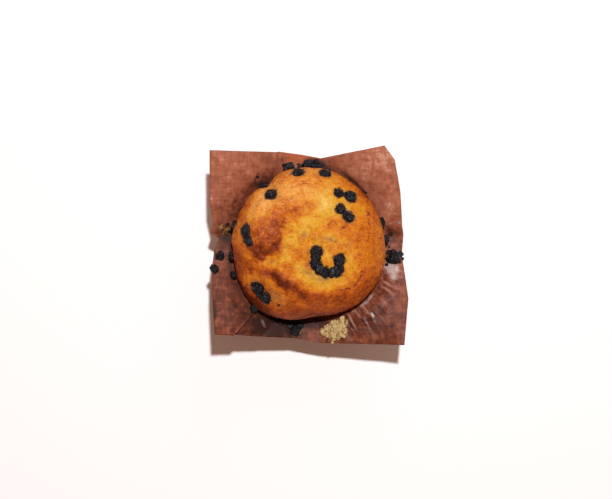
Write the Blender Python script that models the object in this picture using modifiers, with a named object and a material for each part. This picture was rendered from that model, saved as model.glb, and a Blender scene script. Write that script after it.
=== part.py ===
"""A blueberry muffin in its tulip case, modelled at its real size.

Metres, +Z up. The origin is the centre of the case's flat base, on the muffin's axis.
The muffin is one turned body with an uneven crown that overhangs the paper. The case is
one square sheet pressed into a cup: eight folds take up its slack, and its four corners
flare out as petals, with a recessed strip of paper between each pair. Every berry that
shows is a solid of its own, sunk in the crust or lying on the paper.
"""

import math

import bmesh
import bpy
from mathutils import Vector

MM = 0.001
COLLECTION = "blueberry_muffin"
CUTTERS = "socket_cutters"
GAP = 0.35 * MM  # free space between pieces that touch in the real muffin

# The muffin, turned about Z.
NECK_Z = 37.5 * MM  # where the crown starts to overhang
CROWN_RADIUS = 39.2 * MM
CROWN_Z = 45.5 * MM  # height of the crown's widest ring
CROWN_TOP = 65 * MM
DOME_FULLNESS = 0.86  # 1 is an ellipse, and less is a fuller dome
FOOT_ROUNDING = 2 * MM
DOME_RINGS, UNDERSIDE_RINGS, BODY_RINGS = 10, 3, 2
TURN_STEPS = 44

# How the crown's outline departs from a circle: (direction in degrees, half width in
# degrees, change of radius).
OUTLINE_WAVES = (
    (125, 7.5, -3.2 * MM),
    (231, 27, 4.0 * MM),
    (277, 12, -2.0 * MM),
    (328, 28, 1.8 * MM),
)

# Swells and hollows of the crust: (x, y, half width, height along the surface normal).
CRUST_SWELLS = (
    (-24 * MM, 5 * MM, 10 * MM, 2.4 * MM),
    (-15 * MM, 24 * MM, 14 * MM, 1.3 * MM),
    (-17 * MM, -18 * MM, 6.5 * MM, 1.5 * MM),
    (-7 * MM, -23 * MM, 6.5 * MM, 1.7 * MM),
    (4 * MM, -29 * MM, 8 * MM, 1.3 * MM),
    (20 * MM, -26 * MM, 9 * MM, 1.3 * MM),
    (31 * MM, -11 * MM, 9 * MM, 1.1 * MM),
    (30 * MM, 8 * MM, 9 * MM, 0.8 * MM),
    (5 * MM, 31 * MM, 9 * MM, 0.9 * MM),
    (-24 * MM, -26 * MM, 6 * MM, -1.5 * MM),
    (-20 * MM, -8.5 * MM, 5 * MM, -1.4 * MM),
    (-5 * MM, -11 * MM, 7 * MM, -0.9 * MM),
    (10 * MM, -17 * MM, 7 * MM, -1.1 * MM),
    (14 * MM, 20 * MM, 8 * MM, -0.8 * MM),
)

# The tulip case, from a 150 mm square sheet.
PAPER = 0.35 * MM
BASE_RADIUS = 25 * MM
BASE_ROUNDING = 1.8 * MM
RIM_OF_CUP_RADIUS = 32.6 * MM  # the wall's radius at the height WALL_TOP
WALL_TOP = 33.5 * MM
PEELED_WALL_TOP = 25 * MM  # on the near side, where the paper is pulled down
PEELED_DIRECTION, PEELED_WIDTH = 262, 34  # degrees
FOLD_DEPTH = 1.8 * MM  # from a fold's front layer to its back layer
TURN = 0.3 * MM  # how far a fold's round edge stands out sideways
LEAVE_LENGTH, LEAVE_ANGLE = 4 * MM, 62  # how the paper turns away from the wall
FLARE_SHARE = 0.45  # the share of a petal's reach that follows its end slope
WALL_SHARES = (0.22, 0.48, 0.74, 1.0)
FLARE_SHARES = (0.14, 0.32, 0.54, 0.78, 1.0)
BASE_RINGS = (0.9,)

# The panels of the case, anticlockwise from +X: the directions in degrees that each
# spans at the wall's top, the points (x, y, z) in millimetres of its outer edge, its
# slope there in degrees, its columns, and whether it lies behind its neighbours.
PANELS = (
    ((-8, 17), ((48.2, -6.5, 37.5), (48.9, 4, 38.5), (48.4, 13.5, 39.5)), 10, 3, True),
    (
        (13, 86),
        ((48.8, 11.1, 41), (47.6, 27, 46), (44.6, 43.2, 50), (39.2, 50.6, 50), (3.3, 43.9, 40.5)),
        2,
        9,
        False,
    ),
    ((82, 115), ((6.6, 43.4, 39.5), (-4, 45.4, 39.6), (-15.6, 47, 41.5)), 14, 3, True),
    (
        (111, 168),
        ((-12.8, 47.5, 43), (-51.1, 48, 53), (-51.5, 22, 46), (-49.8, 11.1, 42)),
        2,
        8,
        False,
    ),
    ((164, 181), ((-49, 14, 40.5), (-50.4, 5.6, 39), (-46.4, 0.8, 38)), 8, 3, True),
    (
        (177, 233),
        ((-46.6, 3.3, 39.5), (-50.5, -13, 42), (-50.2, -25, 46), (-48.5, -47.1, 54), (-39, -47.7, 50)),
        12,
        8,
        False,
    ),
    ((229, 264), ((-41.5, -46.8, 48.8), (-24, -48.2, 39), (-6.5, -49.3, 33)), 8, 3, True),
    (
        (260, 356),
        ((-9.2, -49.4, 34.5), (7, -52.3, 35), (49.6, -52.8, 48), (51.9, -29, 44), (48.5, -4, 39.5)),
        4,
        11,
        False,
    ),
)

# Berries sunk in the crown: (x, y, diameter) in millimetres, seen from above.
CROWN_BERRIES = (
    (-5.4, 36.6, 6.2),
    (8.3, 35.9, 6.0),
    (-19.5, 25.1, 6.4),
    (15.4, 25.8, 5.0),
    (21.6, 24.1, 6.4),
    (16.3, 17.4, 5.4),
    (20.2, 13.5, 5.6),
    (3.9, -4.5, 6.0),
    (3.4, -10.6, 5.8),
    (8.2, -14.9, 5.6),
    (14.4, -14.5, 5.6),
    (15.7, -8.4, 5.8),
    (-32.4, 7.3, 6.0),
    (-31.2, 1.4, 5.6),
    (-26.2, -23.2, 6.6),
    (-22.4, -28.0, 6.2),
)
SUNK = 0.56  # the share of a crown berry's radius that lies under the crust

# Berries in the crown's side: (direction in degrees, height and diameter in mm).
SIDE_BERRIES = (
    (2.5, 43.5, 5.8),
    (16.0, 44.0, 5.8),
    (104.0, 44.8, 6.0),
    (128.0, 45.5, 5.2),
    (166.5, 44.8, 6.0),
    (190.0, 44.0, 5.0),
    (203.5, 44.6, 4.6),
    (230.0, 44.6, 5.4),
)
SIDE_SUNK = 0.5

# Berries that came loose and lie on the paper: (x, y, diameter) in millimetres.
LOOSE_BERRIES = (
    (44.8, -8.0, 6.4),
    (-0.4, 41.9, 5.0),
    (-46.0, -6.6, 5.0),
    (-48.0, -13.0, 5.0),
    (-6.4, -44.8, 5.4),
)
BERRY_SQUASH = 0.86  # a baked berry's height over its width
BERRY_CLEARANCE = 1.1  # a socket's size over its berry's

CRUST_COLOUR = (0.70, 0.32, 0.07, 1)
PAPER_COLOUR = (0.27, 0.10, 0.05, 1)
BERRY_COLOUR = (0.012, 0.010, 0.016, 1)


def clear_scene():
    for old in list(bpy.data.objects):
        bpy.data.objects.remove(old)


def collection(name):
    made = bpy.data.collections.new(name)
    bpy.context.scene.collection.children.link(made)
    return made


def material(name, colour, roughness):
    made = bpy.data.materials.new(name)
    made.use_nodes = True
    shader = made.node_tree.nodes["Principled BSDF"]
    shader.inputs["Base Color"].default_value = colour
    shader.inputs["Roughness"].default_value = roughness
    shader.inputs["Metallic"].default_value = 0
    return made


def mesh_object(name, mesh, parts, look):
    made = bpy.data.objects.new(name, mesh)
    parts.objects.link(made)
    mesh.materials.clear()
    mesh.materials.append(look)
    return made


def evaluated_mesh(obj):
    """A plain mesh of the object with its modifiers applied."""
    graph = bpy.context.evaluated_depsgraph_get()
    return bpy.data.meshes.new_from_object(obj.evaluated_get(graph))


def smooth(share):
    """0 to 1 with level ends."""
    share = min(max(share, 0.0), 1.0)
    return share * share * (3 - 2 * share)


def degrees_apart(a, b):
    return (a - b + 180) % 360 - 180


# ---- the muffin


def wall_radius(z):
    """The middle of the case's wall at a height."""
    return BASE_RADIUS + (RIM_OF_CUP_RADIUS - BASE_RADIUS) * z / WALL_TOP


def body_radius(z):
    """The muffin's side, which the case moulded."""
    return wall_radius(z) - PAPER / 2 - GAP


def muffin_profile():
    """The half outline as (radius, height), from the dome's top down to the foot's centre."""
    points = [(0.0, CROWN_TOP)]
    for ring in range(1, DOME_RINGS + 1):
        angle = math.pi / 2 * (1 - ring / DOME_RINGS)
        radius = CROWN_RADIUS * math.cos(angle) ** DOME_FULLNESS
        points.append((radius, CROWN_Z + (CROWN_TOP - CROWN_Z) * math.sin(angle)))
    neck = body_radius(NECK_Z)
    for ring in range(1, UNDERSIDE_RINGS + 1):
        angle = math.pi / 2 * ring / UNDERSIDE_RINGS
        radius = neck + (CROWN_RADIUS - neck) * math.cos(angle)
        points.append((radius, CROWN_Z - (CROWN_Z - NECK_Z) * math.sin(angle)))
    foot_z = PAPER + GAP
    for ring in range(1, BODY_RINGS + 1):
        z = NECK_Z + (foot_z + FOOT_ROUNDING - NECK_Z) * ring / BODY_RINGS
        points.append((body_radius(z), z))
    points.append((body_radius(foot_z) - FOOT_ROUNDING, foot_z))
    points.append((0.0, foot_z))
    return points


def turned_mesh(points, steps):
    """The mesh of a profile turned about Z."""
    profile = bpy.data.meshes.new("profile")
    edges = [(i, i + 1) for i in range(len(points) - 1)]
    profile.from_pydata([(r, 0, z) for r, z in points], edges, [])
    turned = bpy.data.objects.new("profile", profile)
    bpy.context.scene.collection.objects.link(turned)
    screw = turned.modifiers.new("turn", "SCREW")
    screw.steps = screw.render_steps = steps
    screw.use_merge_vertices = True
    screw.merge_threshold = 0.00005
    bpy.context.view_layer.update()
    mesh = evaluated_mesh(turned)
    bpy.data.objects.remove(turned)
    return mesh


def outline_change(x, y):
    """How far the crown's outline stands out or in, in the direction of a point."""
    direction = math.degrees(math.atan2(y, x))
    return sum(
        change * math.exp(-((degrees_apart(direction, at) / width) ** 2))
        for at, width, change in OUTLINE_WAVES
    )


def swell_at(x, y):
    return sum(
        height * math.exp(-((x - at_x) ** 2 + (y - at_y) ** 2) / width**2)
        for at_x, at_y, width, height in CRUST_SWELLS
    )


def uneven_point(point):
    """A point of the turned muffin, moved to where the uneven crown has it."""
    x, y, z = point
    crown = smooth((z - NECK_Z) / (CROWN_Z - NECK_Z))
    radius = math.hypot(x, y)
    if radius > 0:
        wider = 1 + crown * outline_change(x, y) / CROWN_RADIUS
        x, y = x * wider, y * wider
    dome = smooth((z - CROWN_Z) / (0.35 * (CROWN_TOP - CROWN_Z)))
    flat = (CROWN_RADIUS / (CROWN_TOP - CROWN_Z)) ** 2
    normal = Vector((x, y, (z - CROWN_Z) * flat)).normalized()
    return Vector((x, y, z)) + normal * dome * swell_at(x, y)


def make_muffin(parts, look):
    mesh = turned_mesh(muffin_profile(), TURN_STEPS)
    for vertex in mesh.vertices:
        vertex.co = uneven_point(vertex.co)
    muffin = mesh_object("muffin", mesh, parts, look)
    mesh.shade_smooth()
    return muffin


# ---- the tulip case


class Column:
    """One line of the case's mesh, from the wall's top out to the sheet's edge."""

    def __init__(self, direction, edge, slope, depth):
        self.direction = direction  # degrees, at the wall's top
        self.edge = Vector(edge)
        self.slope = slope  # degrees, at the edge
        self.depth = depth  # how far it lies behind the front layer
        self.base_direction = direction  # degrees, where the wall leaves the base


def along(points, share):
    """The point at a share of a broken line's length."""
    points = [Vector(p) * MM for p in points]
    lengths = [(b - a).length for a, b in zip(points, points[1:])]
    left = share * sum(lengths)
    for a, b, length in zip(points, points[1:], lengths):
        if left <= length:
            return a.lerp(b, left / length)
        left -= length
    return points[-1]


def edge_shares(points, count):
    """Evenly spaced shares of a broken line, the nearest moved onto each inner corner."""
    points = [Vector(p) for p in points]
    lengths = [(b - a).length for a, b in zip(points, points[1:])]
    shares = [i / count for i in range(count + 1)]
    for corner in range(1, len(points) - 1):
        at = sum(lengths[:corner]) / sum(lengths)
        shares[min(max(round(at * count), 1), count - 1)] = at
    return shares


def panel_columns(span, points, slope, count, behind):
    first, last = span
    depth = FOLD_DEPTH if behind else 0.0
    return [
        Column(first + (last - first) * share, along(points, share), slope, depth)
        for share in edge_shares(points, count)
    ]


def fold_columns(end, start):
    """The columns of a fold, from one panel's last column to the next panel's first."""
    sideways = (end.edge - start.edge).normalized() * TURN
    turned = math.degrees(TURN / RIM_OF_CUP_RADIUS)
    columns = []
    for side, turn, share in ((end, 1, 1 / 6), (end, 0, 1 / 3), (start, 0, 2 / 3), (start, -1, 5 / 6)):
        depth = end.depth + (start.depth - end.depth) * share
        direction = side.direction + turned * turn
        columns.append(Column(direction, side.edge + sideways * turn, side.slope, depth))
    return columns


def case_columns():
    """All columns in turn round the case, with the directions that they have at the base."""
    panels = [panel_columns(*panel) for panel in PANELS]
    columns = []
    for panel, following in zip(panels, panels[1:] + panels[:1]):
        columns += panel
        start = following[0]
        wraps = start.direction < panel[0].direction
        if wraps:
            start = Column(start.direction + 360, start.edge, start.slope, start.depth)
        columns += fold_columns(panel[-1], start)
    directions = [column.direction for column in columns] + [columns[0].direction + 360]
    steps = [abs(b - a) for a, b in zip(directions, directions[1:])]
    scale = 360 / sum(steps)
    at = 0.0
    for column, step in zip(columns, steps):
        column.base_direction = at
        at += step * scale
    shift = sum(c.direction - c.base_direction for c in columns) / len(columns)
    for column in columns:
        column.base_direction += shift
    return columns


def wall_top(direction):
    near = math.exp(-((degrees_apart(direction, PEELED_DIRECTION) / PEELED_WIDTH) ** 2))
    return WALL_TOP + (PEELED_WALL_TOP - WALL_TOP) * near


def polar(radius, direction, z):
    angle = math.radians(direction)
    return Vector((radius * math.cos(angle), radius * math.sin(angle), z))


def column_points(column):
    """A column's points, from the base's first ring out to the sheet's edge."""
    floor = PAPER / 2
    points = [
        polar((BASE_RADIUS - BASE_ROUNDING) * share, column.base_direction, floor)
        for share in BASE_RINGS
    ]
    half_turn = BASE_ROUNDING * (1 - math.sqrt(0.5))
    points.append(polar(BASE_RADIUS - half_turn, column.base_direction, floor + half_turn))
    top = wall_top(column.direction)
    points.append(polar(wall_radius(BASE_ROUNDING), column.base_direction, floor + BASE_ROUNDING))
    for share in WALL_SHARES:
        folded = smooth((share - WALL_SHARES[0]) / (1 - WALL_SHARES[0]))
        direction = column.base_direction + (column.direction - column.base_direction) * folded
        z = floor + BASE_ROUNDING + (top - BASE_ROUNDING) * share
        depth = column.depth * min(1.0, share / WALL_SHARES[1])
        points.append(polar(wall_radius(z) + depth, direction, z))
    return points + flare_points(column, top)


def flare_points(column, top):
    """The points beyond the wall, on a Bezier curve that ends at the sheet's edge."""
    z = PAPER / 2 + top
    start = polar(wall_radius(z), column.direction, z)
    reach = column.edge - start
    level = Vector((reach.x, reach.y, 0)).normalized()
    leave, arrive = math.radians(LEAVE_ANGLE), math.radians(column.slope)
    radial = polar(1, column.direction, 0)
    first = start + LEAVE_LENGTH * (radial * math.cos(leave) + Vector((0, 0, math.sin(leave))))
    end_way = level * math.cos(arrive) + Vector((0, 0, math.sin(arrive)))
    second = column.edge - end_way * reach.length * FLARE_SHARE
    points = []
    for t in FLARE_SHARES:
        s = 1 - t
        on_curve = s**3 * start + 3 * s * s * t * first + 3 * s * t * t * second + t**3 * column.edge
        way = s * s * (first - start) + 2 * s * t * (second - first) + t * t * (column.edge - second)
        behind = Vector((0, 0, -1)) + way.normalized() * way.normalized().z
        steep = radial * way.normalized().z + behind * 0.5
        points.append(on_curve + steep.normalized() * column.depth)
    return points


def make_case(parts, look):
    grid = [column_points(column) for column in case_columns()]
    mesh = bmesh.new()
    centre = mesh.verts.new((0, 0, PAPER / 2))
    rows = [[mesh.verts.new(point) for point in column] for column in grid]
    for column, following in zip(rows, rows[1:] + rows[:1]):
        mesh.faces.new((centre, following[0], column[0]))
        for inner, outer, next_inner, next_outer in zip(
            column, column[1:], following, following[1:]
        ):
            mesh.faces.new((inner, next_inner, next_outer, outer))
    bmesh.ops.recalc_face_normals(mesh, faces=mesh.faces)
    sheet = bpy.data.meshes.new("tulip_case")
    mesh.to_mesh(sheet)
    mesh.free()
    case = mesh_object("tulip_case", sheet, parts, look)
    sheet.shade_smooth()
    solid = case.modifiers.new("paper", "SOLIDIFY")
    solid.thickness = PAPER
    solid.offset = 0
    return case


# ---- the berries


def berry_mesh(diameter, scale):
    mesh = bpy.data.meshes.new("berry")
    shape = bmesh.new()
    bmesh.ops.create_icosphere(shape, subdivisions=2, radius=diameter / 2 * scale)
    bmesh.ops.scale(shape, vec=(1, 1, BERRY_SQUASH), verts=shape.verts)
    shape.to_mesh(mesh)
    shape.free()
    mesh.shade_smooth()
    return mesh


def surface_at(obj, origin, way):
    """Where a ray meets the object, and the surface's normal there."""
    graph = bpy.context.evaluated_depsgraph_get()
    hit, point, normal, _ = obj.evaluated_get(graph).ray_cast(origin, way)
    if not hit:
        raise ValueError(f"no surface of {obj.name} under {tuple(origin)}")
    return point, normal


def place(obj, point, normal, lift):
    """Sets an object on a surface with its own Z along the normal, its centre lifted."""
    obj.location = point + normal * lift
    obj.rotation_mode = "QUATERNION"
    obj.rotation_quaternion = normal.to_track_quat("Z", "Y")


def make_berries(muffin, case, parts, cutters, look):
    """Every berry, and a cutter for the socket of each one that is sunk in the muffin."""
    above = 0.2
    down = Vector((0, 0, -1))
    spots = []
    for x, y, diameter in CROWN_BERRIES:
        found = surface_at(muffin, Vector((x * MM, y * MM, above)), down)
        spots.append((*found, diameter * MM, 1 - 2 * SUNK, True))
    for direction, height, diameter in SIDE_BERRIES:
        outside = polar(above, direction, height * MM)
        inwards = -polar(1, direction, 0)
        spots.append((*surface_at(muffin, outside, inwards), diameter * MM, 1 - 2 * SIDE_SUNK, True))
    for x, y, diameter in LOOSE_BERRIES:
        found = surface_at(case, Vector((x * MM, y * MM, above)), down)
        spots.append((*found, diameter * MM, 1, False))
    for number, (point, normal, diameter, proud, sunk) in enumerate(spots, 1):
        berry = mesh_object(f"berry_{number:02d}", berry_mesh(diameter, 1), parts, look)
        half_height = diameter / 2 * BERRY_SQUASH
        lift = half_height * proud + (0 if sunk else GAP)
        place(berry, point, normal, lift)
        if sunk:
            cutter = mesh_object("socket", berry_mesh(diameter, BERRY_CLEARANCE), cutters, look)
            cutter.hide_render = True
            cutter.display_type = "WIRE"
            place(cutter, point, normal, lift)
    sockets = muffin.modifiers.new("sockets", "BOOLEAN")
    sockets.operation = "DIFFERENCE"
    sockets.operand_type = "COLLECTION"
    sockets.collection = cutters


def main():
    clear_scene()
    parts = collection(COLLECTION)
    cutters = collection(CUTTERS)
    crust = material("crust", CRUST_COLOUR, 0.5)
    paper = material("paper", PAPER_COLOUR, 0.7)
    skin = material("berry_skin", BERRY_COLOUR, 0.35)
    muffin = make_muffin(parts, crust)
    case = make_case(parts, paper)
    bpy.context.view_layer.update()
    make_berries(muffin, case, parts, cutters, skin)


main()
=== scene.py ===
"""The blueberry muffin in its tulip case, on a pale floor, seen from straight above.

Lengths in the tables are millimetres in the CAD frame: the origin is the centre of the
case's base, +Z is up, and x and y place a feature as seen from above. Turns, directions
and slopes are in degrees. Colours are display values from 0 to 255.
"""

import math

import bmesh
import bpy
import numpy as np
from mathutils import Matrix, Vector
from mathutils.bvhtree import BVHTree


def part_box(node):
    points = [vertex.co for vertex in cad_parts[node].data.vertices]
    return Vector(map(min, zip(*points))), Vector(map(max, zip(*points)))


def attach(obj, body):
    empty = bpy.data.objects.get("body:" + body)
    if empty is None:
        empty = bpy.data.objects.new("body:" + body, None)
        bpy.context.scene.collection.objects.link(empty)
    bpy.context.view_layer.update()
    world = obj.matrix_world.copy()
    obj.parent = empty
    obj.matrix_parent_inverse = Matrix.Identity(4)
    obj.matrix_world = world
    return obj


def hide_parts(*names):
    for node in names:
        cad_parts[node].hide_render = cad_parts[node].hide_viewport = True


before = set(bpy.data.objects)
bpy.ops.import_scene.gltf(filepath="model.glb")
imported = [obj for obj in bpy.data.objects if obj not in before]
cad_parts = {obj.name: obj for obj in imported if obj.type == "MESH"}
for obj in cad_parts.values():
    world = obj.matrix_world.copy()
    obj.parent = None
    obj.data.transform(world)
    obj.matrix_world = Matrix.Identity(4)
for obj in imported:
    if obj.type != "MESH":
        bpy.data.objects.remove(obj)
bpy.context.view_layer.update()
NODES = sorted(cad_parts)
BERRIES = [name for name in NODES if name.startswith("berry_")]

# ---- the muffin's form, which follows the CAD model
NECK_Z, CROWN_RADIUS, CROWN_Z, CROWN_TOP = 37.5, 39.2, 45.5, 65
DOME_FULLNESS = 0.86  # below 1, the dome is fuller than half an ellipse
DOME_FLATNESS = (CROWN_RADIUS / (CROWN_TOP - CROWN_Z)) ** 2
GAP = 0.35  # between the cake and the paper
CRUST_COLUMNS = 440
DOME_RINGS, UNDERSIDE_RINGS, BODY_RINGS = 150, 26, 12
# Where the crown's outline bulges or draws in: (direction, width in degrees, change).
OUTLINE_WAVES = ((125, 7.5, -3.2), (176, 8, 0.9), (231, 27, 4), (277, 12, -1.4), (328, 28, 1.8))
# Broad swells and hollows of the crust: (x, y, width, height).
CRUST_SWELLS = (
    (-24, 5, 10, 2.4), (-15, 24, 14, 1.3), (-17, -18, 6.5, 1.5), (-7, -23, 6.5, 1.7),
    (4, -29, 8, 1.3), (20, -26, 9, 1.3), (31, -11, 9, 1.1), (30, 8, 9, 0.8),
    (5, 31, 9, 0.9), (-24, -26, 6, -1.5), (-20, -8.5, 5, -1.4), (-5, -11, 7, -0.9),
    (10, -17, 7, -1.1), (14, 20, 8, -0.8),
)

# ---- the case's form, which follows the CAD model, its edge a little more closely drawn
PAPER, PAPER_SHOWN = 0.35, 0.2  # the CAD sheet's thickness, and the one that is seen
BASE_RADIUS, BASE_ROUNDING = 25, 1.8
RIM_OF_CUP_RADIUS, WALL_TOP = 32.6, 33.5
PEELED_WALL_TOP, PEELED_DIRECTION, PEELED_WIDTH = 25, 262, 34
FOLD_DEPTH, TURN = 1.8, 0.3
LEAVE_LENGTH, LEAVE_ANGLE = 4, 62  # how a petal leaves the wall
FLARE_SHARE = 0.45
BASE_ROWS, WALL_ROWS, FLARE_ROWS = 3, 22, 44
FOLD_STEPS = 6  # in each of a fold's two round turns
WALL_SHARES = (0.22, 0.48)  # where a fold starts, and where it is fully open
UP_OVER = 0.4  # the share of a strip over which it comes forward to meet a petal
# The sheet's petals and strips, round the case: (directions where the panel starts and
# ends, points of its edge, slope at the edge, number of columns, how far its start and
# its end lie behind the petals).
PANELS = (
    ((-8, 13), ((48.2, -6.5, 37.5), (48.9, 4, 38.5), (48.8, 11.1, 41)), 10, 18, 1, 0),
    (
        (13, 86),
        ((48.8, 11.1, 41), (47.6, 27, 46), (44.6, 43.2, 50), (39.2, 50.6, 50), (3.3, 43.9, 40.5)),
        2, 64, 0, 0,
    ),
    ((82, 115), ((6.6, 43.4, 39.5), (-4, 45.4, 39.6), (-15.6, 47, 41.5)), 14, 18, 1, 1),
    (
        (111, 168),
        ((-12.8, 47.5, 43), (-51.1, 48, 53), (-51.5, 22, 46), (-49.8, 11.1, 42)),
        2, 64, 0, 0,
    ),
    ((168, 181), ((-49.8, 11.1, 42), (-50.7, 5.4, 39.5), (-45.6, 2.2, 38)), 8, 14, 0, 1),
    (
        (177, 233),
        (
            (-46.2, 4.4, 39.5), (-49.5, -3.6, 40.5), (-50.5, -13, 42),
            (-50.2, -25, 46), (-48.5, -47.1, 54), (-39, -47.7, 50),
        ),
        12, 62, 0, 0,
    ),
    ((229, 264), ((-41.5, -46.8, 48.8), (-24, -48.2, 39), (-6.5, -49.3, 33)), 8, 24, 1, 1),
    (
        (260, 356),
        ((-9.2, -49.4, 34.5), (7, -52.3, 35), (49.6, -52.8, 48), (51.9, -29, 44), (48.5, -4, 39.5)),
        4, 150, 0, 0,
    ),
)


# ---- small tools


def smooth(share):
    """0 to 1 with level ends."""
    share = np.clip(share, 0, 1)
    return share * share * (3 - 2 * share)


def between(value, low, high):
    return smooth((value - low) / (high - low))


def unit(vectors):
    return vectors / np.maximum(np.linalg.norm(vectors, axis=-1, keepdims=True), 1e-9)


GRADIENTS = unit(np.random.default_rng(7).normal(size=(256, 3)))


def noise(points, scale, seed):
    """Smooth noise from about -0.7 to 0.7 at each point, with features of this scale."""
    p = np.asarray(points, float) / scale + seed * 17.31
    cell = np.floor(p).astype(np.int64)
    f = p - cell
    ease = f * f * f * (f * (6 * f - 15) + 10)
    total = np.zeros(len(p))
    for corner in np.ndindex(2, 2, 2):
        at = cell + corner
        mixed = at[:, 0] * 73856093 ^ at[:, 1] * 19349663 ^ at[:, 2] * 83492791
        mixed = (mixed ^ (mixed >> 13)) * 1274126177
        chosen = GRADIENTS[(mixed ^ (mixed >> 16)) & 255]
        weight = np.prod(np.where(corner, ease, 1 - ease), axis=1)
        total += weight * np.einsum("ij,ij->i", chosen, f - corner)
    return total


def fractal(points, scale, octaves, seed):
    return sum(
        noise(points, scale / 2**k, seed + k) / 1.8**k for k in range(octaves)
    )


def layered(points, layers, rough):
    """Noise in layers: (height, scale, octaves, seed, share left where it isn't rough)."""
    return sum(
        height * fractal(points, scale, octaves, seed) * (left + (1 - left) * rough)
        for height, scale, octaves, seed, left in layers
    )


def bell(distance, width):
    """1 at no distance, falling to 0 on both sides."""
    return np.exp(-((distance / width) ** 2))


# A table of zones has rows of (x, y, half width, half height, turn, amount).


def blob(x, y, spot):
    """1 at the middle of an oval zone, falling to 0. The spot is a zone without amount."""
    at_x, at_y, wide, high, turn = spot
    c, s = math.cos(math.radians(turn)), math.sin(math.radians(turn))
    along = (x - at_x) * c + (y - at_y) * s
    across = -(x - at_x) * s + (y - at_y) * c
    return np.exp(-((along / wide) ** 2) - (across / high) ** 2)


def grid_faces(columns, rows):
    """Quads of a grid of points that is closed round its columns."""
    index = np.arange(columns * rows).reshape(columns, rows)
    after = np.roll(index, -1, axis=0)
    quads = np.stack([index[:, :-1], index[:, 1:], after[:, 1:], after[:, :-1]], axis=-1)
    return quads.reshape(-1, 4)


def piece(name, points, faces, look, stands_for=(), slot=None, attributes=None):
    """A mesh object from points in millimetres, riding on the model's one body."""
    mesh = bpy.data.meshes.new(name)
    corners = [list(map(int, face)) for face in faces]
    mesh.from_pydata((np.asarray(points) * 0.001).tolist(), [], corners)
    mesh.update()
    mesh.shade_smooth()
    for attribute, values in (attributes or {}).items():
        made = mesh.attributes.new(attribute, "FLOAT", "POINT")
        made.data.foreach_set("value", np.asarray(values, np.float32))
    mesh.materials.append(look)
    obj = bpy.data.objects.new(name, mesh)
    bpy.context.scene.collection.objects.link(obj)
    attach(obj, "root")
    if stands_for:
        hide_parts(*stands_for)
    return obj


def grid_normals(grid):
    """Unit normals of a (columns, rows, 3) grid that is closed round its columns."""
    round_way = np.roll(grid, -1, axis=0) - np.roll(grid, 1, axis=0)
    down_way = np.gradient(grid, axis=1)
    return unit(np.cross(down_way, round_way))


# ---- node materials


class Look:
    """A node material, built with short calls. As an input, a string is an attribute."""

    def __init__(self, name):
        self.material = bpy.data.materials.new(name)
        self.material.use_nodes = True
        self.tree = self.material.node_tree
        self.shader = self.tree.nodes["Principled BSDF"]

    def node(self, kind, inputs=None, **settings):
        made = self.tree.nodes.new(kind)
        for key, value in settings.items():
            setattr(made, key, value)
        for key, value in (inputs or {}).items():
            self.put(made.inputs[key], value)
        return made

    def put(self, socket, value):
        if isinstance(value, str):
            value = self.node("ShaderNodeAttribute", attribute_name=value).outputs["Fac"]
        if isinstance(value, bpy.types.NodeSocket):
            self.tree.links.new(value, socket)
        else:
            socket.default_value = value

    def shaded(self, **inputs):
        """The finished material, with these inputs of its shader."""
        for key, value in inputs.items():
            self.put(self.shader.inputs[key.replace("_", " ")], value)
        return self.material

    def place(self):
        return self.node("ShaderNodeTexCoord").outputs["Object"]

    def noise(self, size, detail=3, roughness=0.6, stretch=(1, 1, 1), warp=0):
        """Noise with features of this size in millimetres."""
        mapping = self.node("ShaderNodeMapping", {"Vector": self.place(), "Scale": stretch})
        names = "Vector", "Scale", "Detail", "Roughness", "Distortion"
        values = mapping.outputs["Vector"], 1000 / size, detail, roughness, warp
        return self.node("ShaderNodeTexNoise", dict(zip(names, values))).outputs["Fac"]

    def math(self, operation, a, b):
        return self.node("ShaderNodeMath", {0: a, 1: b}, operation=operation).outputs[0]

    def add(self, total, *others):
        for other in others:
            total = self.math("ADD", total, other)
        return total

    def times(self, a, b):
        return self.math("MULTIPLY", a, b)

    def remap(self, value, low, high, to_low, to_high):
        """From low to high becomes from to_low to to_high, and stays between these."""
        names = "Value", "From Min", "From Max", "To Min", "To Max"
        values = value, low, high, to_low, to_high
        return self.node("ShaderNodeMapRange", dict(zip(names, values))).outputs["Result"]

    def sway(self, pattern, amount):
        """The pattern as a value from -amount to amount."""
        return self.remap(pattern, 0.3, 0.7, -amount, amount)

    def patchy(self, value, pattern, low, high, least, most):
        """The value times least to most, as the pattern goes from low to high."""
        return self.times(value, self.remap(pattern, low, high, least, most))

    def ramp(self, value, stops):
        made = self.node("ShaderNodeValToRGB", {"Fac": value})
        elements = made.color_ramp.elements
        while len(elements) < len(stops):
            elements.new(0.5)
        for element, (at, colour) in zip(elements, stops):
            element.position = at
            element.color = flat_colour(colour)
        return made.outputs["Color"]

    def mix(self, share, a, b):
        made = self.node("ShaderNodeMix", data_type="RGBA")
        self.put(made.inputs[0], share)
        self.put(made.inputs[6], a)
        self.put(made.inputs[7], b)
        return made.outputs[2]

    def paint(self, below, share, colour):
        """A share of a plain colour over what is below."""
        return self.mix(share, below, flat_colour(colour))

    def bump(self, height, distance_mm, strength, below=None):
        inputs = {"Height": height, "Distance": distance_mm * 0.001, "Strength": strength}
        made = self.node("ShaderNodeBump", inputs)
        if below is not None:
            self.put(made.inputs["Normal"], below)
        return made.outputs["Normal"]


def linear(colour):
    """Linear light from 0 to 255 display values."""
    return tuple(
        v / 12.92 if v <= 0.04045 else ((v + 0.055) / 1.055) ** 2.4
        for v in (c / 255 for c in colour)
    )


# What the lights give a level white surface, against the display's white.
LIGHT = (1.22, 1.10, 1.04)


def flat_colour(colour):
    """The surface colour that shows as this display colour in this scene's light."""
    return (*(value / light for value, light in zip(linear(colour), LIGHT)), 1)


# ---- the crust

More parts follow.
